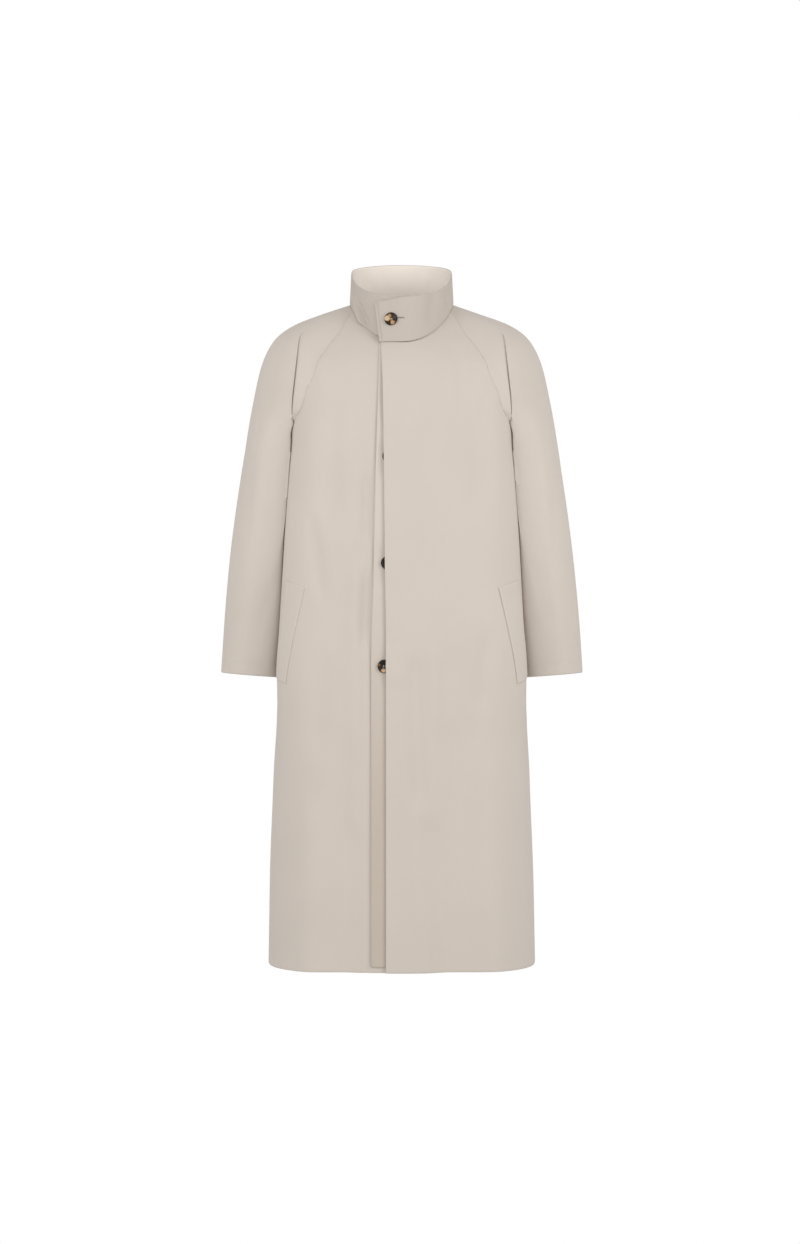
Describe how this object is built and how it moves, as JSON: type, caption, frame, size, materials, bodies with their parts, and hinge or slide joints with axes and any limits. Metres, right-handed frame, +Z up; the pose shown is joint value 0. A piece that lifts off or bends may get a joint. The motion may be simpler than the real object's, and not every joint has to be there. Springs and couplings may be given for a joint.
{
  "type": "raglan overcoat",
  "caption": "Long beige raglan overcoat, filled out as worn and hollow, with a stand collar, fly front, slanted pocket welts and tortoiseshell buttons.",
  "frame": {"origin": "middle of the neck on the line of the shoulders, where the wearer's neck and shoulders hold the coat", "axes": "+Z up, -Y the coat's front, +X the wearer's left"},
  "size_m": [0.612, 0.3435, 1.1884],
  "materials": {
    "gabardine": "matte fine twill",
    "collar_cloth": "matte fine twill",
    "strip_cloth": "matte fine twill",
    "button_resin": "polished tortoiseshell resin"
  },
  "bodies": {
    "root": {"front_left": "gabardine", "front_right": "gabardine", "back": "gabardine", "sleeve_left": "gabardine", "sleeve_right": "gabardine", "collar": "collar_cloth", "collar_inner": "collar_cloth", "fly_strip": "strip_cloth", "pocket_welt_left": "gabardine", "pocket_welt_right": "gabardine", "collar_button": "button_resin", "front_button_1": "button_resin", "front_button_2": "button_resin", "front_button_3": "button_resin"}
  },
  "joints": []
}
